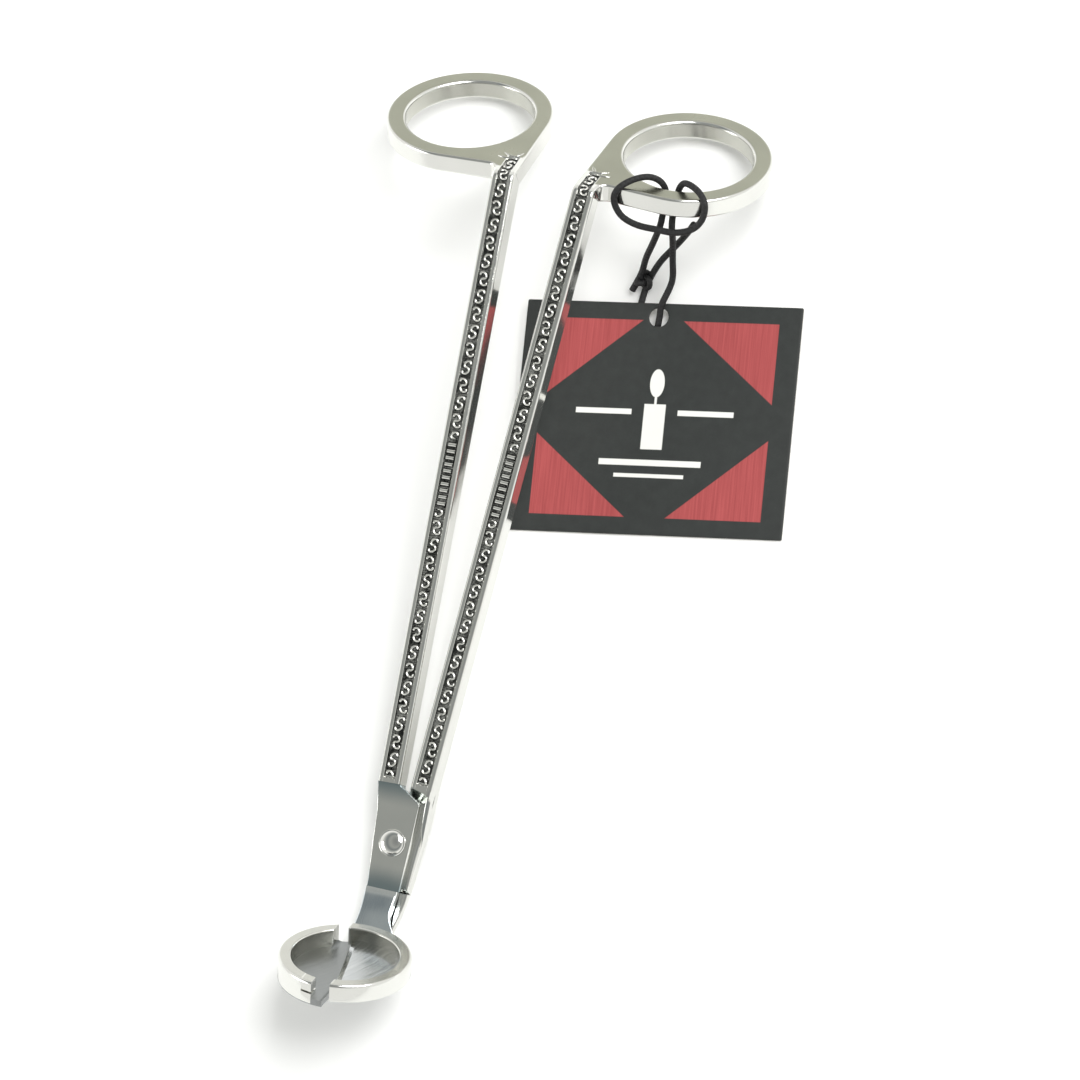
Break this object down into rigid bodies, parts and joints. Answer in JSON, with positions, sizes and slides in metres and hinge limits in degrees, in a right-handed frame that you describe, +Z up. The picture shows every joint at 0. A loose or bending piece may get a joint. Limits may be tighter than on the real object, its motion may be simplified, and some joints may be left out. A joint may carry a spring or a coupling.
{
  "type": "wick trimmer",
  "caption": "Polished steel wick trimmer: two long crossing arms with tilted finger bows, one pivot rivet and an angled round catch tray whose floor halves shear; hang tag on elastic.",
  "frame": {"origin": "on the table under the middle of the trimmer, lying face up on its two finger bows and its heel", "axes": "+Y from the catch tray towards the finger bows, +X across towards the rear lever's bow, +Z up"},
  "size_m": [0.0899, 0.1778, 0.0249],
  "materials": {
    "polished_steel": "mirror-polished plated steel",
    "scroll_relief": "cast scroll relief, polished on its high points",
    "tray_floor": "polished plated steel with fine grinding marks",
    "rivet_steel": "polished steel rivet head",
    "black_elastic": "black braided elastic cord",
    "printed_card": "printed matt card, black and dull red"
  },
  "bodies": {
    "rear_lever": {"rear_shank": "polished_steel", "rear_scrollwork": "scroll_relief", "rear_bow": "polished_steel", "rear_pivot_plate": "polished_steel", "rear_neck": "polished_steel", "lower_blade": "tray_floor", "lower_tray_wall": "polished_steel", "pivot_rivet": "rivet_steel", "elastic_cord": "black_elastic", "cord_knot": "black_elastic", "hang_tag": "printed_card"},
    "front_lever": {"front_shank": "polished_steel", "front_scrollwork": "scroll_relief", "front_bow": "polished_steel", "front_pivot_plate": "polished_steel", "front_neck": "polished_steel", "upper_blade": "tray_floor", "upper_tray_wall": "polished_steel"}
  },
  "joints": [
    {"name": "pivot", "type": "hinge", "parent": "rear_lever", "child": "front_lever", "pos_m": [0, -0.05471, 0.00326], "axis": [0, -0.1584, 0.9874], "range_deg": [-4, 35]}
  ]
}
